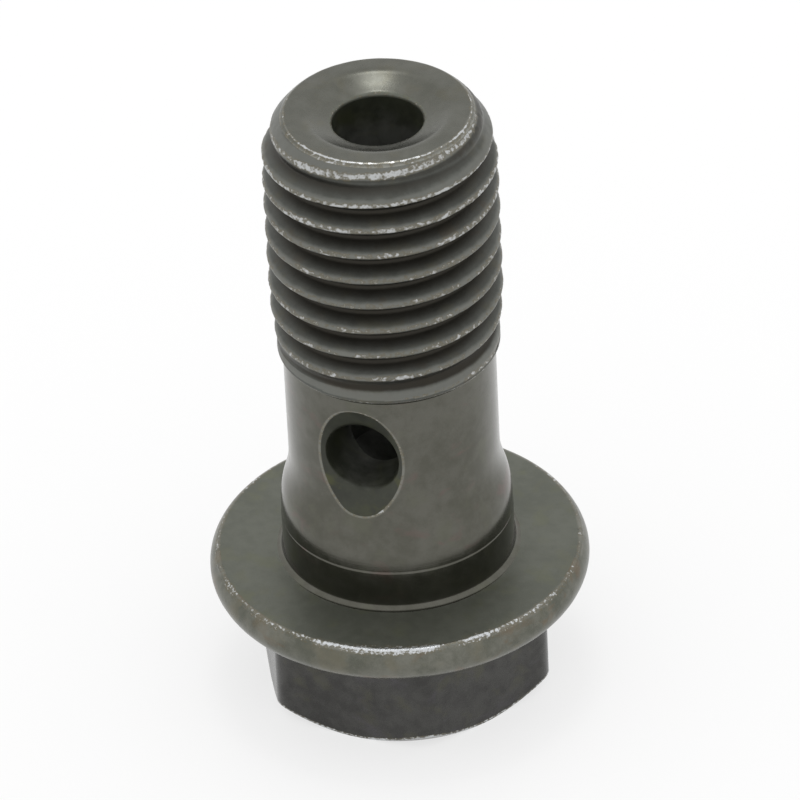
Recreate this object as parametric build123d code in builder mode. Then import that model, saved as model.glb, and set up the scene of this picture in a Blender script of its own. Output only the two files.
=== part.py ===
from build123d import *
import os
from math import radians, tan

# Banjo bolt: a hollow bolt forged and turned in one piece. It stands on its hex head, shank up.
# Frame: origin at the centre of the head's end, +Z along the shank, -Y out of a cross hole.

# ---- hex head ----
hex_across_flats = 11.75      # 12 mm wrench size, at the usual minus tolerance
hex_edge_radius = 1.0         # rounded upright edges, as the forging die leaves them
hex_turn = -4.0               # the forged flats aren't quite square to the drilled cross hole
hex_end_diameter = 11.7       # flat end inside the corner chamfer
hex_chamfer_angle = 42.0      # rise of the corner chamfer
head_height = 6.4             # end of the hex to the bearing face

# ---- flange ----
flange_diameter = 16.25       # widest part of the crowned rim
flange_rim_height = 1.55      # bearing face to the rim's lower edge
flange_rim_crown = 0.35       # how far the rim bulges past its two edges
flange_back_angle = 15.0      # the back slopes down to the hex

# ---- collar that centres the banjo eye, and the waisted neck ----
collar_diameter = 9.9
collar_height = 2.3           # bearing face to the start of the flare
collar_root_fillet = 0.35
flare_height = 3.0
neck_diameter = 8.95
neck_top_height = 10.3        # bearing face to the shoulder under the thread

# ---- thread blank: the crests of the M10 x 1.25 rolled thread ----
thread_diameter = 9.86        # major diameter at mid tolerance
thread_runout = 2.4           # the crests sink into the blank over this length
blank_diameter = 9.38         # plain land between the thread and the neck
blank_land = 0.3
point_diameter = 7.8          # flat end face
point_length = 0.8            # steep cone at the end face
lead_diameter = 9.1           # where the steep cone meets the shallow one
lead_length = 1.4             # shallow cone, over which the first crests rise
shank_length = 22.0           # bearing face to the end face

# ---- axial bore with its dished mouth ----
bore_diameter = 3.8
bore_depth = 17.4             # end face to the end of the full diameter
drill_point_angle = 118.0
mouth_diameter = 6.1          # the mouth is a shallow bowl, hollow like a saucer
mouth_depth = 0.46            # end face to the bore's own edge
mouth_dish_radius = 6.5
mouth_rim_chamfer = 0.12      # broken edge of the bore

# ---- cross hole, drilled through both walls and countersunk at each end ----
cross_hole_diameter = 3.2
cross_hole_height = 7.12      # bearing face to the hole's axis
cross_sink_diameter = 5.42    # the countersink's own, reached where it meets the neck
cross_sink_angle = 130.0

# ---- places worked out from the sizes above ----
face_z = head_height                  # bearing face
rim_low_z = face_z - flange_rim_height
rim_mid_z = face_z - flange_rim_height / 2
flange_r = flange_diameter / 2
rim_edge_r = flange_r - flange_rim_crown
back_tip_z = rim_low_z - rim_edge_r * tan(radians(flange_back_angle))
hex_end_r = hex_end_diameter / 2
chamfer_top_z = (flange_r - hex_end_r) * tan(radians(hex_chamfer_angle))

collar_r = collar_diameter / 2
neck_r = neck_diameter / 2
flare_low_z = face_z + collar_height
flare_top_z = flare_low_z + flare_height
flare_mid_z = flare_low_z + flare_height / 2
neck_top_z = face_z + neck_top_height

blank_r = blank_diameter / 2
thread_r = thread_diameter / 2
point_r = point_diameter / 2
lead_r = lead_diameter / 2
land_low_z = neck_top_z + abs(blank_r - neck_r)       # 45 degree shoulder
land_top_z = land_low_z + blank_land
thread_low_z = land_top_z + thread_runout
top_z = face_z + shank_length
point_low_z = top_z - point_length
lead_low_z = point_low_z - lead_length

bore_r = bore_diameter / 2
mouth_r = mouth_diameter / 2
mouth_rim_z = top_z - mouth_depth
bore_floor_z = top_z - bore_depth
drill_tip_z = bore_floor_z - bore_r / tan(radians(drill_point_angle / 2))

cross_z = face_z + cross_hole_height
cross_r = cross_hole_diameter / 2
cross_sink_r = cross_sink_diameter / 2


def ring(part, radius, z):
    """The round edges of a given radius at a given height."""
    near = 0.001
    circles = part.edges().filter_by(GeomType.CIRCLE)
    at_height = circles.filter_by_position(Axis.Z, z - near, z + near)
    return at_height.filter_by(lambda edge: abs(edge.radius - radius) < near)


with BuildPart() as bolt:
    # Hex: an extruded hexagon with rounded edges, its end corners cut by a turned cone.
    with BuildSketch():
        hexagon = RegularPolygon(hex_across_flats / 2, 6, major_radius=False, rotation=hex_turn)
        fillet(hexagon.vertices(), hex_edge_radius)
    extrude(amount=rim_low_z)
    with BuildSketch(Plane.XZ):
        with BuildLine():
            Polyline(
                (0, 0),
                (hex_end_r, 0),
                (flange_r, chamfer_top_z),
                (flange_r, rim_low_z),
                (0, rim_low_z),
                close=True,
            )
        make_face()
    revolve(axis=Axis.Z, mode=Mode.INTERSECT)

    # Flange, collar, flared neck and thread blank: one profile turned about Z.
    with BuildSketch(Plane.XZ):
        with BuildLine():
            Line((0, back_tip_z), (rim_edge_r, rim_low_z))
            ThreePointArc((rim_edge_r, rim_low_z), (flange_r, rim_mid_z), (rim_edge_r, face_z))
            Polyline((rim_edge_r, face_z), (collar_r, face_z), (collar_r, flare_low_z))
            Bezier(
                (collar_r, flare_low_z),
                (collar_r, flare_mid_z),
                (neck_r, flare_mid_z),
                (neck_r, flare_top_z),
            )
            Polyline(
                (neck_r, flare_top_z),
                (neck_r, neck_top_z),
                (blank_r, land_low_z),
                (blank_r, land_top_z),
                (thread_r, thread_low_z),
                (thread_r, lead_low_z),
                (lead_r, point_low_z),
                (point_r, top_z),
                (0, top_z),
                (0, back_tip_z),
            )
        make_face()
    revolve(axis=Axis.Z)
    fillet(ring(bolt, collar_r, face_z), collar_root_fillet)

    # Bore: one profile turned about Z, from the dished mouth down to the drill point.
    with BuildSketch(Plane.XZ):
        with BuildLine():
            RadiusArc((mouth_r, top_z), (bore_r, mouth_rim_z), mouth_dish_radius)
            Polyline(
                (bore_r, mouth_rim_z),
                (bore_r, bore_floor_z),
                (0, drill_tip_z),
                (0, top_z),
                (mouth_r, top_z),
            )
        make_face()
    revolve(axis=Axis.Z, mode=Mode.SUBTRACT)
    chamfer(ring(bolt, bore_r, mouth_rim_z), mouth_rim_chamfer)

    # Cross hole: drilled and countersunk from each side, down to the bore.
    for side in (-1, 1):
        neck_side = Plane((0, side * neck_r, cross_z), x_dir=(1, 0, 0), z_dir=(0, side, 0))
        with Locations(neck_side):
            CounterSinkHole(cross_r, cross_sink_r, neck_r, cross_sink_angle)

bolt.part.label = "banjo_bolt"
os.makedirs("parts", exist_ok=True)
export_step(bolt.part, "parts/banjo_bolt.step")
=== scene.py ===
from math import asin, atan2, cos, degrees, pi, radians, sin, sqrt, tan

import bmesh
import bpy
from mathutils import Matrix, Vector, noise


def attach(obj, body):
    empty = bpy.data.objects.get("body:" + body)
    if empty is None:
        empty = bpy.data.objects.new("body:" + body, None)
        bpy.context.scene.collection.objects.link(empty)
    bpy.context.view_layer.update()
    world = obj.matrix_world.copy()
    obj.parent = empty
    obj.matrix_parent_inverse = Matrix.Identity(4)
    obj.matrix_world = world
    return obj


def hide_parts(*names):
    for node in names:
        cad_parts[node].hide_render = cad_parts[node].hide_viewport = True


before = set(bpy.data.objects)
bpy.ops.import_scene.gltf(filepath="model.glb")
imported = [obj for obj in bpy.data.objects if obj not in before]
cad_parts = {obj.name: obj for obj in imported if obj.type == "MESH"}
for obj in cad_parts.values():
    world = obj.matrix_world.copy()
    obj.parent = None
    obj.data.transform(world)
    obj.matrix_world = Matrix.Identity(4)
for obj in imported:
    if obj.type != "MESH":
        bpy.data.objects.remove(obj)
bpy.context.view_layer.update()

mm = 0.001
print("frame loaded:", ", ".join(sorted(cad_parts)))


# small sums used all over

def blendIn(low, high, value):  # 0 below low, 1 above high, smooth between
    share = min(1.0, max(0.0, (value - low) / (high - low)))
    return share * share * (3 - 2 * share)


def softLeast(a, b, width):  # the lesser of two, with the corner rounded off
    share = max(0.0, width - abs(a - b)) / width
    return min(a, b) - share * share * width / 4


def between(start, end, share):
    return start + (end - start) * share


def grain(angle, radius, height, scale, seed=0.0):  # noise from -1 to 1, scale is per millimetre
    place = Vector((radius * cos(angle), radius * sin(angle), height + seed))
    return noise.noise(place * scale)


# the bolt's sizes in millimetres and degrees

boltSizes = {
    "columns": 256,           # points round the outside
    "acrossFlats": 11.75,
    "hexCorner": 1.0,
    "hexTurn": -4.0,          # the flats sit a little askew to the cross hole
    "hexCrowding": 0.1,       # draws the columns together at the hexagon's edges
    "endDiameter": 11.7,
    "chamferAngle": 42.0,
    "chamferRounding": 0.12,  # worn rounding of the chamfer's two edges, at most
    "headHeight": 6.4,
    "flangeDiameter": 16.25,
    "rimHeight": 1.55,
    "rimCrown": 0.35,
    "rimEdge": 0.3,           # worn rounding of its upper corner
    "rimUnderEdge": 0.05,     # and of its lower one
    "backAngle": 15.0,
    "backRoot": 0.25,         # between the hex and the flange's back
    "collarDiameter": 9.9,
    "collarRoot": 0.35,
    "collarMark": 1.86,       # bearing face to the fine step the grinding left
    "markDepth": 0.014,
    "markReach": 0.06,        # its outer rings lie this far above and below it
    "flareLow": 2.3,
    "flareHeight": 3.0,
    "neckDiameter": 8.95,
    "neckTop": 10.3,
    "landDiameter": 9.38,
    "landHeight": 0.3,
    "shankLength": 22.0,
    "pointDiameter": 7.8,
    "leadLength": 2.3,        # the shank's end rounds over this length
    "edgeRounding": 0.14,     # between that and the end face
    "endGap": 0.14,           # the thread's last ring lies this far below the end face
}

threadSizes = {
    "pitch": 1.25,
    "majorDiameter": 9.86,
    "pitchDiameter": 9.15,
    "rootRadius": 0.18,
    "crestRounding": 0.18,
    "runout": 2.4,            # crests sink into the blank over this length
    "rootRunout": 1.35,       # and the grooves come up over this one
    "endRunout": 1.45,        # the last grooves grow shallow towards the end face
    "rootHeight": 26.3,       # a groove's middle, on the side at phaseAngle
    "phaseAngle": -69.8,
    "rowsAcross": (0.0, 0.06, 0.12, 0.165, 0.29, 0.40, 0.47, 0.52, 0.575),  # of the mesh, in half a groove
    "crestFade": (0.02, 0.2),     # how far below a crest its tone ends
    "underShadeEnd": (0.48, 0.58),    # above the groove's middle, where the painted shade on a crest's underside ends
    "lipStart": (0.45, 0.55),     # and where the part that rubs, which also carries a painted highlight, begins
    "lipEnd": (0.68, 0.90),
}

boreSizes = {
    "diameter": 3.8,
    "depth": 17.4,
    "drillAngle": 118.0,
    "mouthDiameter": 6.1,
    "mouthDepth": 0.46,
    "dishRadius": 6.5,
    "shoulder": 0.8,          # blends the dish into the end face
    "rim": 0.18,
    "wallHeights": (25.5, 23.0, 20.0, 17.5),  # rings between the mouth and the cross hole
    "columns": 128,
}

crossSizes = {
    "diameter": 3.2,
    "height": 7.12,           # above the bearing face
    "sinkDiameter": 5.42,
    "sinkAngle": 130.0,
    "sinkRounding": 0.3,      # between the cone and the countersink's own edge
    "edge": 0.07,             # worn rounding of the mouth
    "outerSpan": 32,          # columns each side of the hole
    "outerLow": 3.5,          # patch round the hole, above the bearing face
    "outerHigh": 10.1,
    "outerRows": 44,          # four spans and two rows come to as many for both patches
    "innerSpan": 29,
    "innerRows": 50,
    "innerReach": 2.0,
}

wearAndHighlightShares = {                # 0 is untouched oxide, 1 is bright steel; on the rim, the end and the crests it is also a painted highlight
    "hexEnd": 0.3,            # the chamfer's lower edge
    "hexChamfer": 1.0,        # its upper edge
    "hexBeside": 0.75,        # and just above that
    "rimUnder": 0.7,
    # the rim's upper edge: worn steel and a painted highlight, most in front
    "rimFront": 1.05,
    "rimRight": 0.79,
    "rimLeast": 0.48,
    # the end's edge: worn steel and a painted highlight
    "endLeast": 0.55,         # all round the end's edge
    "endMore": 0.45,          # and this much more in front and to the right
    # the end's shoulder: worn steel and a painted highlight
    "shoulder": 0.54,
    "shoulderPolishAndHighlight": 0.75,
    # the crests: worn steel and a painted highlight
    "crestLow": 0.54,         # on the lowest crests
    "crestMore": 0.42,        # and this much more on the top ones
    "crestFrom": 23.5,        # the height at which that begins
    "crestTo": 27.3,          # and where it is full
    "landEdge": 0.8,
    "boreRim": 0.4,
    "mark": 0.2,
    "sinkBeside": 0.35,
    "sinkEdge": 0.64,
}

dentDepths = {
    "forged": 0.008,          # broad dents of the hex and the flange's back
    "forgedFine": 0.003,
    "rim": 0.045,             # where the flange's edge is worn
    "end": 0.05,              # where the end's edge is worn
    "crest": 0.07,            # where the thread's crests are
    "crestFine": 0.06,
    "thread": 0.004,          # all over the thread
}

columns = boltSizes["columns"]
turn = 2 * pi
faceZ = boltSizes["headHeight"]
topZ = faceZ + boltSizes["shankLength"]
rimLowZ = faceZ - boltSizes["rimHeight"]
flangeR = boltSizes["flangeDiameter"] / 2
rimEdgeR = flangeR - boltSizes["rimCrown"]
flatAngle = radians(boltSizes["hexTurn"] - 90)
collarR = boltSizes["collarDiameter"] / 2
neckR = boltSizes["neckDiameter"] / 2
landR = boltSizes["landDiameter"] / 2
neckTopZ = faceZ + boltSizes["neckTop"]
landLowZ = neckTopZ + landR - neckR
landTopZ = landLowZ + boltSizes["landHeight"]
threadR = threadSizes["majorDiameter"] / 2
pointR = boltSizes["pointDiameter"] / 2
boreR = boreSizes["diameter"] / 2
crossZ = faceZ + crossSizes["height"]
crossR = crossSizes["diameter"] / 2
sinkR = crossSizes["sinkDiameter"] / 2
sinkSpread = radians(crossSizes["sinkAngle"] / 2)

finishNames = ("hexOxide", "rimOxide", "faceOxide", "neckOxideAndDarkReflection", "threadOxide", "endOxide", "drilledSteel")
hexed, rimmed, faced, necked, threaded, ended, drilled = range(len(finishNames))


class Skin:
    # points, faces and painted masks of the bolt while it grows
    def __init__(self):
        self.points, self.faces, self.finishes = [], [], []
        self.masks = {"edgeWear": [], "crest": [], "groove": []}

    def point(self, angle, radius, height, **masks):
        self.points.append((radius * cos(angle), radius * sin(angle), height))
        for name, values in self.masks.items():
            values.append(masks.get(name, 0.0))
        return len(self.points) - 1

    def face(self, corners, finish):
        distinct = list(dict.fromkeys(corners))
        if None not in distinct and len(distinct) > 2:
            self.faces.append(distinct)
            self.finishes.append(finish)

    def join(self, lower, upper, finish):  # a band between two rings of as many points
        for k in range(len(lower)):
            after = (k + 1) % len(lower)
            self.face((lower[k], lower[after], upper[after], upper[k]), finish)

    def step(self, fine, coarse, finish):  # a band from a ring to one of half as many points
        for k in range(len(coarse)):
            mid, after = fine[2 * k + 1], fine[(2 * k + 2) % len(fine)]
            nextCoarse = coarse[(k + 1) % len(coarse)]
            self.face((coarse[k], fine[2 * k], mid), finish)
            self.face((coarse[k], mid, nextCoarse), finish)
            self.face((nextCoarse, mid, after), finish)

    def close(self, ring, height, finish):
        middle = self.point(0, 0, height)
        for k in range(len(ring)):
            self.face((middle, ring[k], ring[(k + 1) % len(ring)]), finish)


def corner(radius, height, finish, fillet=0.0, wear=0.0, spans=1, after=None):
    # after is the finish beyond the corner, where that changes
    return {
        "at": Vector((radius, height)), "fillet": fillet, "wear": wear, "spans": spans,
        "finish": finish, "after": finish if after is None else after,
    }


def filletRows(corners, k, steps=4):
    this = corners[k]
    at = this["at"]
    toBefore = (corners[k - 1]["at"] - at).normalized()
    toAfter = (corners[k + 1]["at"] - at).normalized()
    half = toBefore.angle(toAfter) / 2
    reach = this["fillet"] / tan(half)
    centre = at + (toBefore + toAfter).normalized() * this["fillet"] / sin(half)
    first, last = at + toBefore * reach - centre, at + toAfter * reach - centre
    sweep = first.angle(last)
    rows = []
    for n in range(steps + 1):
        share = n / steps
        arm = (first * sin((1 - share) * sweep) + last * sin(share * sweep)) / sin(sweep)
        wear = this["wear"] * sin(pi * (0.15 + 0.7 * share))
        rows.append((centre.x + arm.x, centre.y + arm.y, wear, this["finish"]))
    return rows


def outline(corners):  # rows (radius, height, wear, finish) along a profile with rounded corners
    rows = []
    for k, this in enumerate(corners):
        here = [(this["at"].x, this["at"].y, this["wear"], this["finish"])]
        if this["fillet"]:
            here = filletRows(corners, k)
        here[-1] = (*here[-1][:3], this["after"])
        if rows and corners[k - 1]["spans"] > 1:
            start, spans = rows[-1], corners[k - 1]["spans"]
            for n in range(1, spans):
                share = n / spans
                radius = between(start[0], here[0][0], share)
                height = between(start[1], here[0][1], share)
                rows.append((radius, height, 0.0, start[3]))
        rows.extend(here)
    return rows


def hexRadius(angle):  # a hexagon with rounded edges, seen from its axis
    flat, edge = boltSizes["acrossFlats"] / 2, boltSizes["hexCorner"]
    off = abs((angle - flatAngle) % (pi / 3) - pi / 6)  # 0 on an edge, 30 degrees on a flat
    across = pi / 6 - off
    straight = flat / cos(across)
    edgeCentre = (flat - edge) / cos(pi / 6)
    if straight * sin(across) <= edgeCentre * sin(pi / 6):
        return straight
    return edgeCentre * cos(off) + sqrt(edge * edge - (edgeCentre * sin(off)) ** 2)


def crowded(angle, height):  # the column's angle, drawn towards the hexagon's edges below the flange
    share = boltSizes["hexCrowding"] * (1 - blendIn(rimLowZ - 0.2, rimLowZ, height))
    return angle + share * sin(6 * (angle - flatAngle))


def neckRadius(height):  # collar, fine step, flare and neck
    low = faceZ + boltSizes["flareLow"]
    top = low + boltSizes["flareHeight"]
    mid = (low + top) / 2
    radius = collarR - boltSizes["markDepth"] * blendIn(-0.03, 0.03, height - faceZ - boltSizes["collarMark"])
    if height <= low:
        return radius
    if height >= top:
        return neckR
    first, last = 0.0, 1.0
    for _ in range(24):
        t = (first + last) / 2
        reached = low * (1 - t) ** 3 + 3 * mid * t * (1 - t) + top * t ** 3
        first, last = (t, last) if reached < height else (first, t)
    flare = (1 - t) ** 3 + 3 * t * (1 - t) ** 2
    return neckR + (radius - neckR) * flare


def rimWearAndHighlight(angle):  # the rim's upper corner: worn steel and a painted highlight, most in front, less to the right, little round the back
    side = degrees(angle)
    side -= 360 * (side > 180)
    front = blendIn(-102, -97, side) * (1 - blendIn(-62, -50, side))
    right = blendIn(-64, -50, side) * (1 - blendIn(-25, 10, side))
    return max(wearAndHighlightShares["rimFront"] * front, wearAndHighlightShares["rimRight"] * right, wearAndHighlightShares["rimLeast"])


def headCorners(angle):
    sizes = boltSizes
    side = hexRadius(crowded(angle, 0))
    endR = sizes["endDiameter"] / 2
    slope = radians(sizes["chamferAngle"])
    chamferZ = (side - endR) * tan(slope)
    rounding = min(sizes["chamferRounding"], 0.9 * (side - endR) / cos(slope))
    backZ = rimLowZ - (rimEdgeR - side) * tan(radians(sizes["backAngle"]))
    corners = [
        corner(3.0, 0.0, hexed, spans=2),
        corner(endR, 0.0, hexed, rounding, wearAndHighlightShares["hexEnd"]),
        corner(side, chamferZ, hexed, rounding, wearAndHighlightShares["hexChamfer"]),
        corner(side, chamferZ + 0.07, hexed, wear=wearAndHighlightShares["hexBeside"]),
        corner(side, chamferZ + 0.15, hexed, spans=8),
        corner(side, backZ, hexed, sizes["backRoot"], spans=3),
        corner(rimEdgeR, rimLowZ, hexed, sizes["rimUnderEdge"], wearAndHighlightShares["rimUnder"], after=rimmed),
    ]
    halfRim, crown = sizes["rimHeight"] / 2, sizes["rimCrown"]
    rimArc = (halfRim ** 2 + crown ** 2) / (2 * crown)
    opening = asin(halfRim / rimArc)
    # the rim's edge: worn steel and a painted highlight
    wearAndHighlight = rimWearAndHighlight(angle)
    arcSteps = 14
    for n in range(1, arcSteps):
        lift = opening * (2 * n / arcSteps - 1)
        wear = wearAndHighlight * max(0.0, 1 - 0.45 * (arcSteps - n - 0.4))
        radius = flangeR - rimArc * (1 - cos(lift))
        corners.append(corner(radius, faceZ - halfRim + rimArc * sin(lift), rimmed, wear=wear))
    corners += [
        corner(rimEdgeR, faceZ, rimmed, sizes["rimEdge"], wearAndHighlight, 8, faced),
        corner(collarR, faceZ, necked, sizes["collarRoot"] - 0.1, 0.0, 6),
    ]
    markZ, markReach = faceZ + sizes["collarMark"], sizes["markReach"]
    for height in (markZ - markReach, markZ - 0.025, markZ, markZ + 0.025, markZ + markReach):
        lineWear = wearAndHighlightShares["mark"] * (height == markZ)
        corners.append(corner(neckRadius(height), height, necked, wear=lineWear))
    patchLow, steps = faceZ + crossSizes["outerLow"], 11
    for n in range(1, steps):
        height = between(markZ + markReach, patchLow, n / steps)
        corners.append(corner(neckRadius(height), height, necked))
    return corners


def landCorners():
    return [
        corner(neckR, faceZ + crossSizes["outerHigh"] + 0.05, necked),
        corner(neckR, neckTopZ, necked, 0.1),
        corner(landR, landLowZ, threaded, 0.05, wearAndHighlightShares["landEdge"]),
        corner(landR, landLowZ + 0.09, threaded),
    ]


def endWearAndHighlight(angle):  # the end's edge: worn steel and a painted highlight, most in front and to the right
    side = degrees(angle)
    side -= 360 * (side > 180)
    more = wearAndHighlightShares["endMore"] * blendIn(-135, -100, side) * (1 - blendIn(0, 30, side))
    return wearAndHighlightShares["endLeast"] + more


def endCorners(lowZ, angle):  # from the thread's last ring over the end face and down the dish
    bore = boreSizes
    mouthR, rimZ, dish = bore["mouthDiameter"] / 2, topZ - bore["mouthDepth"], bore["dishRadius"]
    chord = Vector((boreR - mouthR, rimZ - topZ))
    half = asin(chord.length / (2 * dish))
    start = atan2(chord.y, chord.x) + half  # heading at the dish's outer edge, steepest there
    corners = [
        corner(leadRadius(lowZ), lowZ, ended),
        # the end's edge: worn steel and a painted highlight
        corner(pointR, topZ, ended, boltSizes["edgeRounding"], endWearAndHighlight(angle), 4),
        corner(mouthR, topZ, ended, bore["shoulder"]),
    ]
    dishSteps = 5
    for n in range(1, dishSteps):
        heading = start - half * n / dishSteps
        reach = 2 * dish * sin(half * n / dishSteps)
        corners.append(corner(mouthR + reach * cos(heading), topZ + reach * sin(heading), ended))
    corners += [
        corner(boreR, rimZ, faced, bore["rim"], wearAndHighlightShares["boreRim"], 4, drilled),
        corner(boreR, rimZ - 0.25, drilled),
    ]
    return corners


def roughened(angle, radius, height, wear):  # small dents of the forging and of handling
    dent = 0.0
    if height < faceZ - 0.01 and radius > 4:
        dent += dentDepths["forged"] * (1 + grain(angle, radius, height, 0.45))
        dent += dentDepths["forgedFine"] * (1 + grain(angle, radius, height, 1.9, 7))
    if wear > 0.15 and radius > 7:
        dent += dentDepths["rim"] * wear * max(0.0, grain(angle, radius, height, 2.6, 31) + 0.1)
    if wear > 0.15 and height > topZ - 0.5:
        dent += dentDepths["end"] * wear * max(0.0, grain(angle, radius, height, 2.2, 17) + 0.15)
    return dent


def ringsOf(skin, rowsAt):  # one ring of points for each row of a profile
    perColumn = [rowsAt(turn * k / columns) for k in range(columns)]
    rings, finishes = [], []
    for n in range(len(perColumn[0])):
        ring = []
        for k in range(columns):
            radius, height, wear, finish = perColumn[k][n]
            angle = crowded(turn * k / columns, height)
            dent = roughened(angle, radius, height, wear)
            ring.append(skin.point(angle, radius - dent, height, edgeWear=wear))
        rings.append(ring)
        finishes.append(perColumn[0][n][3])
    return rings, finishes


def joinRings(skin, rings, finishes):
    for n in range(len(rings) - 1):
        skin.join(rings[n], rings[n + 1], finishes[n])


# the thread, a right-hand helix grown turn by turn between two rings

def leadRadius(height):  # the rounded end of the shank, tangent to the crests
    length, drop = boltSizes["leadLength"], threadR - pointR
    arc = (length ** 2 + drop ** 2) / (2 * drop)
    climb = max(0.0, height - topZ + length)
    return threadR - arc + sqrt(arc ** 2 - climb ** 2)


def threadRadius(across, height):  # across: distance along the axis from the groove's middle
    sizes = threadSizes
    pitch = sizes["pitch"]
    slope = 1 / tan(pi / 6)
    sharpRoot = sizes["pitchDiameter"] / 2 - pitch / 4 * slope
    rootArc = sizes["rootRadius"]
    flank = sharpRoot + across * slope
    if across < rootArc * cos(pi / 6):
        flank = sharpRoot + 2 * rootArc - sqrt(rootArc ** 2 - across ** 2)
    full = softLeast(flank, threadR, sizes["crestRounding"])
    rootR = sharpRoot + rootArc
    depth = (threadR - full) / (threadR - rootR)
    crestNow = landR + (threadR - landR) * min(1.0, max(0.0, height - landTopZ) / sizes["runout"])
    rootNow = between(landR, rootR, blendIn(landLowZ + 0.12, landLowZ + 0.12 + sizes["rootRunout"], height))
    crestNow = softLeast(crestNow, leadRadius(height), 0.08)
    depth *= blendIn(0.0, sizes["endRunout"], topZ - height)
    radius = crestNow - depth * max(0.0, crestNow - rootNow)
    return radius, depth, crestNow - radius


def growThread(skin, lowRing, lowZ, highZ):
    sizes = threadSizes
    pitch = sizes["pitch"]
    offsets = list(sizes["rowsAcross"]) + [pitch / 2]
    offsets += [pitch - value for value in reversed(sizes["rowsAcross"][1:])]
    perTurn = len(offsets)
    leastGap = 0.012
    highRing = []
    made = {}

    def heightOf(row, column):
        rise = pitch * (column / columns - sizes["phaseAngle"] / 360)
        return sizes["rootHeight"] + rise + pitch * (row // perTurn) + offsets[row % perTurn]

    def spot(row, column):
        if column == columns:  # the seam: one turn on is one pitch up
            row, column = row + perTurn, 0
        height = heightOf(row, column)
        if height <= lowZ + leastGap:
            return lowRing[column]
        if height >= highZ - leastGap:
            return highRing[column]
        if (row, column) not in made:
            angle = turn * column / columns
            above = offsets[row % perTurn]  # height above the groove's middle
            radius, depth, below = threadRadius(min(above, pitch - above), height)
            crest = 1 - blendIn(*sizes["crestFade"], below)
            # lip: the worn band at a crest's lower edge, with a painted highlight
            lifted = above + 0.2 * blendIn(0.0, 0.3, threadR - leadRadius(height))
            lip = blendIn(*sizes["lipStart"], lifted) * (1 - blendIn(*sizes["lipEnd"], lifted))
            # painted shade on the crest's underside
            paintedUnderShade = crest * (1 - blendIn(*sizes["underShadeEnd"], lifted))
            # more wear and painted highlight on the top turns, in front and to the right
            fromTop = blendIn(wearAndHighlightShares["crestFrom"], wearAndHighlightShares["crestTo"], height)
            more = wearAndHighlightShares["crestMore"] * fromTop * endWearAndHighlight(angle)
            crestWearAndHighlight = wearAndHighlightShares["crestLow"] + more
            nick = max(0.0, grain(angle, threadR, height, 2.3, 5) - 0.1) * dentDepths["crest"]
            nick += max(0.0, grain(angle, threadR, height, 5.5, 40) - 0.15) * dentDepths["crestFine"]
            radius -= nick * crest * crestWearAndHighlight
            radius -= dentDepths["thread"] * (1 + grain(angle, radius, height, 1.1, 90))
            # the underside's painted shade leaves the crest tone and joins the groove's dirt and painted
            # shade
            masks = {"crest": crest - paintedUnderShade, "edgeWear": crest * lip * crestWearAndHighlight}
            masks["groove"] = max(depth * (1 - crest), 0.6 * paintedUnderShade)
            made[row, column] = skin.point(angle, radius, height, **masks)
        return made[row, column]

    for k in range(columns):
        angle = turn * k / columns
        # the end's shoulder: worn steel and a painted highlight, most in front and to the right
        wearAndHighlight = endWearAndHighlight(angle)
        masks = {"edgeWear": wearAndHighlightShares["shoulder"] * wearAndHighlight, "crest": wearAndHighlightShares["shoulderPolishAndHighlight"] * wearAndHighlight}
        highRing.append(skin.point(angle, leadRadius(highZ) - 0.008, highZ, **masks))
    lowRow = -perTurn * 12
    highRow = perTurn * 4
    for column in range(columns):
        for row in range(lowRow, highRow):
            if heightOf(row + 1, column + 1) < lowZ or heightOf(row, column) > highZ:
                continue
            below = spot(row, column), spot(row, column + 1)
            above = spot(row + 1, column + 1), spot(row + 1, column)
            skin.face(below + above, threaded)
    return highRing


# the cross hole: a ring-shaped patch in the neck, a countersink, a wall and a patch in the bore

def sinkRadius(out):  # the countersink at a distance from the bolt's axis
    cone = sinkR + (out - neckR) * tan(sinkSpread)
    return softLeast(cone, sinkR, crossSizes["sinkRounding"])


def sinkEdge(swing):  # where the countersink leaves the neck: its radius and place along the hole
    low, high = crossR, sinkR
    for _ in range(30):
        radius = (low + high) / 2
        outer = neckRadius(crossZ + radius * sin(swing))
        out = sqrt(outer ** 2 - (radius * cos(swing)) ** 2)
        low, high = (radius, high) if sinkRadius(out) > radius else (low, radius)
    return radius, out


def blockLoop(span, low, high, rows):  # (sideways step, height) round a rectangular patch
    heights = [between(low, high, n / rows) for n in range(rows + 1)]
    loop = [(k, low) for k in range(-span, span)]
    loop += [(span, heights[n]) for n in range(rows)]
    loop += [(k, high) for k in range(span, -span, -1)]
    loop += [(-span, heights[n]) for n in range(rows, 0, -1)]
    return loop


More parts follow.
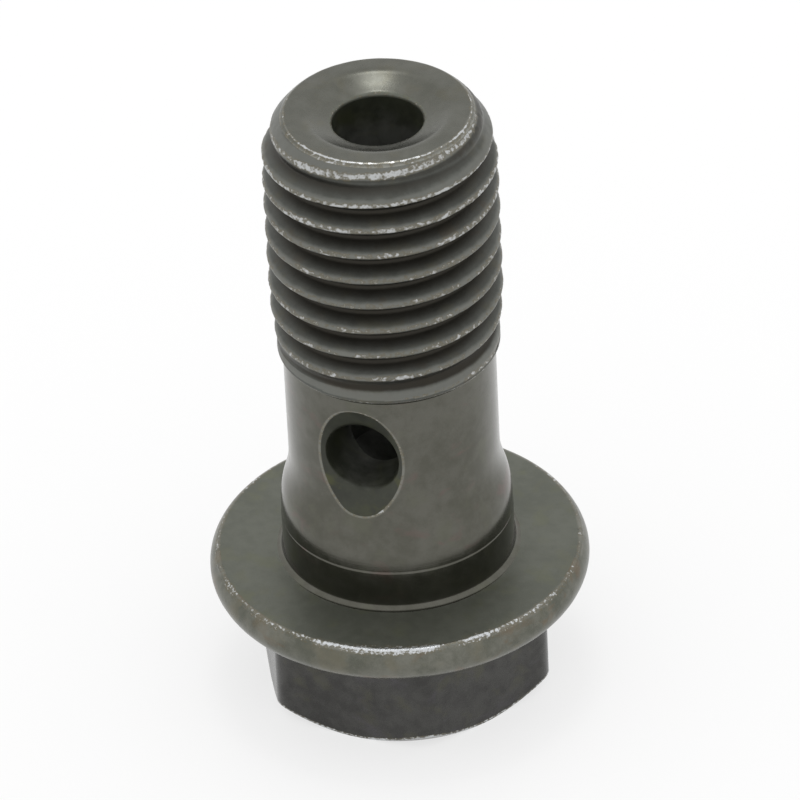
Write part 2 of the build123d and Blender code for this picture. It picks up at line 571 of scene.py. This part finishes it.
def cutCrossHole(skin, side, neckRings, boreRings):
    # side -1 opens towards -Y; swing turns about the hole's axis, from +X towards +Z
    facing = side * pi / 2
    sizes = crossSizes
    span, rows = sizes["outerSpan"], sizes["outerRows"]
    lowZ, highZ = faceZ + sizes["outerLow"], faceZ + sizes["outerHigh"]
    middle = round(facing / turn * columns)
    loop = blockLoop(span, lowZ, highZ, rows)
    heightStep = (highZ - lowZ) / rows
    outerLoop = [neckRings[round((z - lowZ) / heightStep)][(middle + k) % columns] for k, z in loop]
    count = len(loop)
    swings = [atan2((z - crossZ) / (highZ - lowZ), k / (2 * span)) for k, z in loop]

    def inHole(radius, swing, out, **masks):
        x, height = radius * cos(swing), crossZ + radius * sin(swing)
        return skin.point(facing + atan2(x, out), sqrt(x * x + out * out), height, **masks)

    edge = sizes["edge"]
    edges = [sinkEdge(swing) for swing in swings]
    rim = []
    for (radius, out), swing in zip(edges, swings):
        wide = radius + edge
        height = crossZ + wide * sin(swing)
        rim.append((asin(wide * cos(swing) / neckRadius(height)), height))

    before = outerLoop
    patchSteps = 11
    for n in range(1, patchSteps + 1):
        share = 1 - (1 - n / patchSteps) ** 1.25
        ring = []
        for (k, z), (sideways, height) in zip(loop, rim):
            angle, z = facing + between(k * turn / columns, sideways, share), between(z, height, share)
            wearAndHighlight = wearAndHighlightShares["sinkBeside"] * (n == patchSteps)
            ring.append(skin.point(angle, neckRadius(z), z, edgeWear=wearAndHighlight))
        skin.join(before, ring, necked)
        before = ring

    sinkStarts = []  # where the worn edge ends and the countersink goes on
    for radius, out in edges:
        start = out - edge * (0.4 + 0.6 * cos(sinkSpread))
        sinkStarts.append((sinkRadius(start), start))
    edgeSteps = 4
    for n in range(1, edgeSteps):  # worn edge: a quadratic blend across the corner
        t = n / edgeSteps
        ring = []
        for (radius, out), (inner, start), (sideways, height), swing in zip(edges, sinkStarts, rim, swings):
            outer = neckRadius(height)
            first = Vector((outer * sin(sideways), outer * cos(sideways), height - crossZ))
            tip = Vector((radius * cos(swing), out, radius * sin(swing)))
            last = Vector((inner * cos(swing), start, inner * sin(swing)))
            at = first * (1 - t) ** 2 + tip * 2 * t * (1 - t) + last * t ** 2
            radial = sqrt(at.x ** 2 + at.y ** 2)
            angle, wearAndHighlight = facing + atan2(at.x, at.y), wearAndHighlightShares["sinkEdge"]
            ring.append(skin.point(angle, radial, crossZ + at.z, edgeWear=wearAndHighlight))
        skin.join(before, ring, necked)
        before = ring

    lipOut = neckR - (sinkR - crossR) / tan(sinkSpread)
    sinkSteps = 7
    for n in range(sinkSteps):
        ring = []
        for (inner, start), swing in zip(sinkStarts, swings):
            out = between(start, lipOut, n / sinkSteps)
            ring.append(inHole(sinkRadius(out), swing, out))
        skin.join(before, ring, drilled)
        before = ring

    wallSteps = 10
    lipRounding = 0.06
    for n in range(wallSteps + 1):
        share = n / wallSteps
        ring = []
        for swing in swings:
            end = sqrt(boreR ** 2 - (crossR * cos(swing)) ** 2)
            out = between(lipOut - lipRounding, end, share)
            shade = (0.1 + 0.8 * share) * (0.62 + 0.38 * sin(swing))  # painted shade, growing deeper into the hole; the floor stays lighter
            # painted light on the hole's floor, through the crest tone
            paintedLightAndPolish = 0.4 * max(0.0, -sin(swing))
            ring.append(inHole(crossR, swing, out, groove=shade, crest=paintedLightAndPolish))
        skin.join(before, ring, drilled)
        before = ring

    # the bore's side of the hole, its loop turned a little so that its corners match the outer loop's
    innerSpan, innerRows, reach = sizes["innerSpan"], sizes["innerRows"], sizes["innerReach"]
    boreColumns = boreSizes["columns"]
    middle = round(facing / turn * boreColumns)
    inner = blockLoop(innerSpan, crossZ - reach, crossZ + reach, innerRows)
    shift = (rows - innerRows) // 2
    inner = [inner[(k + shift) % count] for k in range(count)]
    innerLoop = []
    for k, z in inner:
        ring = boreRings[round((z - crossZ + reach) / (2 * reach) * innerRows)]
        innerLoop.append(ring[(middle + k) % boreColumns])
    patchSteps = 6
    for n in range(1, patchSteps):
        share = n / patchSteps
        ring = []
        for (k, z), swing in zip(inner, swings):
            sideways, height = asin(crossR * cos(swing) / boreR), crossZ + crossR * sin(swing)
            angle = between(sideways, k * turn / boreColumns, share)
            # painted light: the bore's wall round the hole takes the crest tone
            ring.append(skin.point(facing + angle, boreR, between(height, z, share), crest=0.8))
        skin.join(before, ring, drilled)
        before = ring
    skin.join(before, innerLoop, drilled)


def holedRings(skin, total, span, heights, radiusAt, crest):
    # rings with the two patches left out, one round each end of the cross hole
    rings = []
    for n, height in enumerate(heights):
        edgeRow = n in (0, len(heights) - 1)
        ring = []
        for k in range(total):
            off = abs((k + total // 4) % (total // 2) - total // 4)  # 0 opposite the hole, most beside it
            cut = total // 4 - off < span and not edgeRow
            ring.append(None if cut else skin.point(turn * k / total, radiusAt(height), height, crest=crest))
        rings.append(ring)
    return rings


# put the bolt together, from the hex end up, over the end face and down the bore

def growBore(skin, mouthRing, topOfBore):
    bore = boreSizes
    boreColumns = bore["columns"]
    floorZ = topZ - bore["depth"]
    tipZ = floorZ - boreR / tan(radians(bore["drillAngle"] / 2))
    before = None
    for height in (topOfBore - 0.4, *bore["wallHeights"]):
        ring = []
        for k in range(boreColumns):
            # the crest tone, painted light, grows on the wall deeper in the bore
            depth = blendIn(0, 3, topOfBore - height)
            ring.append(skin.point(turn * k / boreColumns, boreR, height, crest=depth))
        if before is None:
            skin.step(mouthRing, ring, drilled)
        else:
            skin.join(before, ring, drilled)
        before = ring
    reach, innerRows = crossSizes["innerReach"], crossSizes["innerRows"]
    heights = [crossZ - reach + 2 * reach * n / innerRows for n in range(innerRows + 1)]
    # painted light: the crest tone stays on the bore's wall round the cross hole and down to its floor
    boreRings = holedRings(skin, boreColumns, crossSizes["innerSpan"], heights, lambda height: boreR, 0.8)
    skin.join(before, boreRings[-1], drilled)
    joinRings(skin, boreRings, [drilled] * len(boreRings))
    floorRing = [skin.point(turn * k / boreColumns, boreR, floorZ, crest=0.8) for k in range(boreColumns)]
    skin.join(boreRings[0], floorRing, drilled)
    skin.close(floorRing, tipZ, drilled)
    return boreRings


def growBolt():
    skin = Skin()
    headRings, headFinishes = ringsOf(skin, lambda angle: outline(headCorners(angle)))
    skin.close(headRings[0], 0.0, hexed)
    joinRings(skin, headRings, headFinishes)

    sizes = crossSizes
    lowZ, highZ = faceZ + sizes["outerLow"], faceZ + sizes["outerHigh"]
    heights = [between(lowZ, highZ, n / sizes["outerRows"]) for n in range(sizes["outerRows"] + 1)]
    neckRings = holedRings(skin, columns, sizes["outerSpan"], heights, neckRadius, 0.0)
    skin.join(headRings[-1], neckRings[0], necked)
    joinRings(skin, neckRings, [necked] * len(neckRings))

    landRows = outline(landCorners())
    landRings, landFinishes = ringsOf(skin, lambda angle: landRows)
    skin.join(neckRings[-1], landRings[0], necked)
    joinRings(skin, landRings, landFinishes)

    threadHighZ = topZ - boltSizes["endGap"]
    threadTop = growThread(skin, landRings[-1], landRows[-1][1], threadHighZ)
    endRings, endFinishes = ringsOf(skin, lambda angle: outline(endCorners(threadHighZ, angle))[1:])
    skin.join(threadTop, endRings[0], ended)
    joinRings(skin, endRings, endFinishes)

    boreRings = growBore(skin, endRings[-1], topZ - boreSizes["mouthDepth"])
    for side in (-1, 1):
        cutCrossHole(skin, side, neckRings, boreRings)
    return skin


def meshOf(name, skin):
    mesh = bpy.data.meshes.new(name)
    mesh.from_pydata([tuple(value * mm for value in point) for point in skin.points], [], skin.faces)
    for maskName, values in skin.masks.items():
        mesh.attributes.new(maskName, "FLOAT", "POINT").data.foreach_set("value", values)
    mesh.polygons.foreach_set("material_index", skin.finishes)
    work = bmesh.new()
    work.from_mesh(mesh)
    bmesh.ops.delete(work, geom=[vert for vert in work.verts if not vert.link_faces], context="VERTS")
    bmesh.ops.recalc_face_normals(work, faces=work.faces)
    work.to_mesh(mesh)
    openEdges = sum(1 for edge in work.edges if len(edge.link_faces) != 2)
    triangles = sum(len(face.verts) - 2 for face in work.faces)
    work.free()
    mesh.shade_smooth()
    mesh.set_sharp_from_angle(angle=radians(55))
    piece = bpy.data.objects.new(name, mesh)
    bpy.context.scene.collection.objects.link(piece)
    print(name, "has", triangles, "triangles and", openEdges, "open edges")
    return piece


class Wire:
    # a socket that takes + - * and makes the Math nodes
    def __init__(self, sheet, socket):
        self.sheet, self.socket = sheet, socket

    def __add__(self, other):
        return self.sheet.math("ADD", self, other)

    def __radd__(self, other):
        return self.sheet.math("ADD", other, self)

    def __sub__(self, other):
        return self.sheet.math("SUBTRACT", self, other)

    def __rsub__(self, other):
        return self.sheet.math("SUBTRACT", other, self)

    def __mul__(self, other):
        return self.sheet.math("MULTIPLY", self, other)

    def __rmul__(self, other):
        return self.sheet.math("MULTIPLY", other, self)

    def clipped(self):
        return self.sheet.math("ADD", self, 0.0, clamp=True)


class Sheet:
    # one node tree and the few ways of adding to it
    def __init__(self, tree):
        self.tree = tree
        tree.nodes.clear()

    def node(self, kind, settings=None, values=None, output=0):
        made = self.tree.nodes.new(kind)
        for name, value in (settings or {}).items():
            setattr(made, name, value)
        for name, value in (values or {}).items():
            socket = made.inputs[name]
            if isinstance(value, Wire):
                self.tree.links.new(value.socket, socket)
            elif isinstance(value, tuple) and socket.type == "RGBA":
                socket.default_value = (*value, 1)
            else:
                socket.default_value = value
        return Wire(self, made.outputs[output]) if made.outputs else made

    def math(self, operation, first, second, clamp=False):
        settings = {"operation": operation, "use_clamp": clamp}
        return self.node("ShaderNodeMath", settings, {0: first, 1: second})

    def mix(self, share, first, second, blend="MIX"):  # colours
        settings = {"data_type": "RGBA", "blend_type": blend}
        return self.node("ShaderNodeMix", settings, {0: share, 6: first, 7: second}, 2)

    def spread(self, value, low, high):  # 0 below low, 1 above high
        settings = {"interpolation_type": "SMOOTHSTEP"}
        return self.node("ShaderNodeMapRange", settings, {"Value": value, "From Min": low, "From Max": high})

    def noise(self, place, scale, detail=3.0, roughness=0.5, distortion=0.0):
        return self.node("ShaderNodeTexNoise", {}, {
            "Vector": place, "Scale": scale, "Detail": detail,
            "Roughness": roughness, "Distortion": distortion,
        })

    def mask(self, name):
        return self.node("ShaderNodeAttribute", {"attribute_name": name}, {}, "Fac")

    def scaled(self, place, factors):
        return self.node("ShaderNodeVectorMath", {"operation": "MULTIPLY"}, {0: place, 1: factors})


# the finishes: dark and light are the oxide's two tones, stain its patches, lengths are in millimetres

finishLooks = {
    "hexOxide": {
        "dark": (0.051, 0.050, 0.048), "light": (0.076, 0.075, 0.071), "stain": (0.085, 0.084, 0.060),
        "stainShare": 0.5, "roughness": 0.27, "grainDepth": 0.0035, "turning": 0.0,
        "tint": (0.085, 0.08, 0.088), "tintShare": 0.5,
        "speckScale": 9.0, "wornShare": 0.9, "wornAt": 0.52, "rubbedAndSheen": 0.4, "metallic": 0.85,
    },
    "rimOxide": {
        "dark": (0.106, 0.109, 0.089), "light": (0.178, 0.177, 0.151), "stain": (0.156, 0.146, 0.108),
        "stainShare": 0.6, "roughness": 0.30, "grainDepth": 0.0035, "turning": 0.0,
        "tint": (0.15, 0.105, 0.065), "tintShare": 0.5,
        "speckScale": 9.0, "wornShare": 1.0, "wornAt": 0.56, "rubbedAndSheen": 0.75, "metallic": 0.9,
    },
    "faceOxide": {
        "dark": (0.106, 0.112, 0.091), "light": (0.133, 0.139, 0.115), "stain": (0.132, 0.139, 0.084),
        "stainShare": 0.4, "roughness": 0.44, "grainDepth": 0.004, "turning": 0.0,
        "tint": (0.13, 0.132, 0.085), "tintShare": 0.35,
        "speckScale": 9.0, "wornShare": 0.9, "wornAt": 0.60, "rubbedAndSheen": 0.6, "metallic": 0.62,
    },
    # the neck's tones are darker than its oxide alone: a painted reflection of dark surroundings
    "neckOxideAndDarkReflection": {
        "dark": (0.095, 0.094, 0.078), "light": (0.125, 0.123, 0.106), "stain": (0.119, 0.122, 0.092),
        "stainShare": 0.4, "roughness": 0.19, "grainDepth": 0.0010, "turning": 0.0012,
        "tint": (0.144, 0.102, 0.094), "tintShare": 0.45,
        "speckScale": 7.0, "wornShare": 0.7, "wornAt": 0.80, "rubbedAndSheen": 0.6, "metallic": 1.0,
    },
    "threadOxide": {
        "dark": (0.072, 0.075, 0.067), "light": (0.100, 0.104, 0.094), "stain": (0.105, 0.100, 0.072),
        "stainShare": 0.5, "roughness": 0.42, "grainDepth": 0.004, "turning": 0.0,
        "tint": (0.085, 0.07, 0.052), "tintShare": 0.5,
        "speckScale": 6.0, "wornShare": 0.7, "wornAt": 0.66, "rubbedAndSheen": 0.3, "metallic": 0.75,
    },
    "endOxide": {
        "dark": (0.113, 0.114, 0.098), "light": (0.137, 0.138, 0.120), "stain": (0.140, 0.132, 0.098),
        "stainShare": 0.35, "roughness": 0.28, "grainDepth": 0.0015, "turning": 0.0,
        "tint": (0.125, 0.118, 0.085), "tintShare": 0.4,
        "speckScale": 6.0, "wornShare": 0.85, "wornAt": 0.62, "rubbedAndSheen": 0.85, "metallic": 0.95,
    },
    "drilledSteel": {
        "dark": (0.021, 0.023, 0.015), "light": (0.033, 0.036, 0.023), "stain": (0.044, 0.049, 0.021),
        "stainShare": 0.5, "roughness": 0.45, "grainDepth": 0.002, "turning": 0.001,
        "tint": (0.056, 0.059, 0.017), "tintShare": 0.8,
        "speckScale": 7.0, "wornShare": 0.7, "wornAt": 0.86, "rubbedAndSheen": 0.2, "metallic": 0.2,
    },
}

crestPolishAndLightTones = {  # lighter where the crest mask is: polish and a painted highlight on the crests, painted light on the bore's wall and the cross hole's floor, a painted highlight on the end's shoulder
    "threadOxide": (0.165, 0.168, 0.152),
    "drilledSteel": (0.150, 0.152, 0.140),
    "endOxide": (0.42, 0.42, 0.38),
}
rubbedAndSheenTone = (0.26, 0.26, 0.235)  # edges that touch things, partly a painted sheen
dirtAndShadeTones = {  # darker where the groove mask is: dirt and painted shade in the thread's grooves, under its crests and in the cross hole
    "threadOxide": (0.023, 0.0195, 0.014),
    "drilledSteel": (0.014, 0.014, 0.011),
}
wornSteelAndHighlight = {"colour": (0.60, 0.62, 0.635), "fringe": (0.135, 0.115, 0.070), "roughness": 0.24}
oxideGrain = {  # noise: its scale per millimetre, detail, roughness and distortion
    "cloud": (0.35, 3, 0.55),
    "mottle": (1.7, 4, 0.6),
    "grit": (17.0, 2, 0.6),
    "cluster": (0.62, 2, 0.5),   # gathers the worn specks
    "stain": (0.8, 3, 0.55),
    "tint": (0.55, 3, 0.6, 0.4),
    "turning": (1.0, 2, 0.5),
}


def oxideFinish(name):
    look = finishLooks[name]
    material = bpy.data.materials.new(name)
    material.use_nodes = True
    sheet = Sheet(material.node_tree)
    place = sheet.node("ShaderNodeTexCoord", {}, {}, "Object")
    place = sheet.scaled(place, (1000, 1000, 1000))  # in millimetres
    cloud = sheet.noise(place, *oxideGrain["cloud"])
    mottle = sheet.noise(place, *oxideGrain["mottle"])
    drawnOut = sheet.scaled(place, (0.8, 0.8, 1.0))  # a little longer round the bolt
    speck = sheet.noise(drawnOut, look["speckScale"], 1.5, 0.5)
    grit = sheet.noise(place, *oxideGrain["grit"])
    cluster = sheet.noise(place, *oxideGrain["cluster"])
    wearAndHighlightMask, crest, groove = sheet.mask("edgeWear"), sheet.mask("crest"), sheet.mask("groove")

    tone = cloud * 0.45 + mottle * 0.4 + grit * 0.15
    colour = sheet.mix(sheet.spread(tone, 0.38, 0.62), look["dark"], look["light"])
    stained = sheet.spread(sheet.noise(place, *oxideGrain["stain"]), 0.52, 0.70)
    colour = sheet.mix(stained * look["stainShare"], colour, look["stain"])
    tinted = sheet.noise(sheet.scaled(place, (1, 1, 1.6)), *oxideGrain["tint"])
    tinted = sheet.spread(tinted, 0.56, 0.70)
    colour = sheet.mix(tinted * look["tintShare"], colour, look["tint"])
    # dirt and painted shade where the groove mask is
    if name in dirtAndShadeTones:
        colour = sheet.mix(sheet.spread(groove, 0.05, 0.95) * 0.9, colour, dirtAndShadeTones[name])
    # polish and painted light where the crest mask is
    if name in crestPolishAndLightTones:
        paintedLightAndPolish = sheet.spread(crest + (mottle - 0.5) * 0.8, 0.1, 1.0) * 0.8
        colour = sheet.mix(paintedLightAndPolish, colour, crestPolishAndLightTones[name])
    # rubbed edges, partly a painted sheen
    rubbingAndSheen = sheet.spread(wearAndHighlightMask, 0.2, 0.8)
    colour = sheet.mix(rubbingAndSheen * look["rubbedAndSheen"], colour, rubbedAndSheenTone)
    raggedness = (speck - 0.5) * 1.7 + (cluster - 0.5) * 1.1 + (grit - 0.5) * 0.6
    # worn steel, which on the rim, the end and the crests is also a painted highlight
    rubbedAndSheen = wearAndHighlightMask + raggedness * sheet.spread(wearAndHighlightMask, 0.0, 0.3)
    fringe = sheet.spread(rubbedAndSheen, look["wornAt"] - 0.32, look["wornAt"] + 0.02)
    wearAndHighlight = sheet.spread(rubbedAndSheen, look["wornAt"] - 0.04, look["wornAt"] + 0.42) * look["wornShare"]
    colour = sheet.mix(fringe * 0.6, colour, wornSteelAndHighlight["fringe"])
    colour = sheet.mix(wearAndHighlight, colour, wornSteelAndHighlight["colour"])
    roughness = look["roughness"] + (mottle - 0.5) * 0.14 + (speck - 0.5) * 0.08
    roughness = roughness * (1 - wearAndHighlight) + wearAndHighlight * wornSteelAndHighlight["roughness"]

    height = grit * look["grainDepth"] + mottle * look["grainDepth"] * 1.5
    if look["turning"]:
        lines = sheet.noise(sheet.scaled(place, (0.15, 0.15, 14.0)), *oxideGrain["turning"])
        height = height + lines * look["turning"]
    height = height - wearAndHighlight * 0.006
    normal = sheet.node("ShaderNodeBump", {}, {"Strength": 1.0, "Distance": mm, "Height": height})
    shader = sheet.node("ShaderNodeBsdfPrincipled", {}, {
        "Base Color": colour, "Metallic": look["metallic"],
        "Roughness": roughness.clipped(), "Normal": normal,
    })
    sheet.node("ShaderNodeOutputMaterial", {}, {"Surface": shader})
    return material


bolt = meshOf("bolt", growBolt())
for finishName in finishNames:
    bolt.data.materials.append(oxideFinish(finishName))
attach(bolt, "root")
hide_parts("banjo_bolt")
print("bolt made and finished")


# floor and light

studio = {
    "floorSize": 3.0,
    "floorColour": (0.93, 0.93, 0.93),
    "floorGlow": 0.68,        # how much of the floor is plain white, which weakens the shadow
    "worldStrength": 1.0,
    "softboxRadiance": 5.5,   # in whites
    "softboxSize": 0.115,
    "softboxReach": 0.42,     # from the end face
    "softboxLean": 12.0,      # from straight up, away from the camera
}

viewPoint = {
    "azimuth": 20.2,          # from the front towards the right
    "elevation": 35.197,
    "distance": 0.3352,
    "targetHeight": 0.017559,
    "roll": -2.930,           # with the next two, turns the camera about its own axes
    "tilt": 0.534,
    "swing": -0.085,
    "focal": 360.0,
    "sensor": 36.0,
}


def plainMesh(name, points, faces, material):
    mesh = bpy.data.meshes.new(name)
    mesh.from_pydata(points, [], faces)
    mesh.materials.append(material)
    made = bpy.data.objects.new(name, mesh)
    bpy.context.scene.collection.objects.link(made)
    return made


def makeFloor():
    material = bpy.data.materials.new("paleFloor")
    material.use_nodes = True
    sheet = Sheet(material.node_tree)
    paint = sheet.node("ShaderNodeBsdfDiffuse", {}, {"Color": studio["floorColour"]})
    glow = sheet.node("ShaderNodeEmission", {}, {"Color": (1.0, 1.0, 1.0), "Strength": 1.0})
    seen = 0
    for ray in ("Is Camera Ray", "Is Glossy Ray", "Is Transmission Ray"):
        seen = sheet.node("ShaderNodeLightPath", {}, {}, ray) + seen
    share = seen.clipped() * studio["floorGlow"]
    surface = sheet.node("ShaderNodeMixShader", {}, {0: share, 1: paint, 2: glow})
    sheet.node("ShaderNodeOutputMaterial", {}, {"Surface": surface})
    half = studio["floorSize"] / 2
    points = [(-half, -half, 0), (half, -half, 0), (half, half, 0), (-half, half, 0)]
    plainMesh("floor", points, [(0, 1, 2, 3)], material)


def makeWorld():
    world = bpy.data.worlds.new("tent")
    bpy.context.scene.world = world
    world.use_nodes = True
    sheet = Sheet(world.node_tree)
    values = {"Color": (1.0, 1.0, 1.0), "Strength": studio["worldStrength"]}
    shader = sheet.node("ShaderNodeBackground", {}, values)
    sheet.node("ShaderNodeOutputWorld", {}, {"Surface": shader})


def makeSoftbox():
    lean, side = radians(studio["softboxLean"]), radians(viewPoint["azimuth"])
    aim = Vector((-sin(side) * sin(lean), cos(side) * sin(lean), cos(lean)))
    lamp = bpy.data.lights.new("softbox", "AREA")
    lamp.shape, lamp.size = "DISK", studio["softboxSize"]
    lamp.energy = studio["softboxRadiance"] * pi * pi * (lamp.size / 2) ** 2
    holder = bpy.data.objects.new("softbox", lamp)
    holder.location = Vector((0, 0, topZ * mm)) + aim * studio["softboxReach"]
    holder.rotation_euler = (-aim).to_track_quat("-Z", "Y").to_euler()
    holder.visible_camera = False
    bpy.context.scene.collection.objects.link(holder)


def makeCamera():
    lift = radians(viewPoint["elevation"])
    back = Vector((0, -cos(lift), sin(lift)))
    right = Vector((1, 0, 0))
    up = right.cross(-back)
    facing = Matrix((right, -up, -back))  # rows: right, down and forward in the picture
    aim = Matrix.Rotation(radians(viewPoint["swing"]), 3, "Y")
    aim = aim @ Matrix.Rotation(radians(viewPoint["tilt"]), 3, "X")
    aim = aim @ Matrix.Rotation(radians(viewPoint["roll"]), 3, "Z") @ facing
    axes = Matrix((aim[0], -aim[1], -aim[2])).transposed()
    around = Matrix.Rotation(radians(viewPoint["azimuth"]), 3, "Z")
    spot = around @ (back * viewPoint["distance"] + Vector((0, 0, viewPoint["targetHeight"])))
    data = bpy.data.cameras.new("camera")
    data.lens = viewPoint["focal"]
    data.sensor_width = data.sensor_height = viewPoint["sensor"]
    data.clip_start, data.clip_end = 0.01, 20
    camera = bpy.data.objects.new("camera", data)
    camera.matrix_world = Matrix.Translation(spot) @ (around @ axes).to_4x4()
    bpy.context.scene.collection.objects.link(camera)
    bpy.context.scene.camera = camera


makeFloor()
makeWorld()
makeSoftbox()
print("floor and light set")

makeCamera()
bpy.context.scene.view_settings.view_transform = "Standard"
print("camera set")
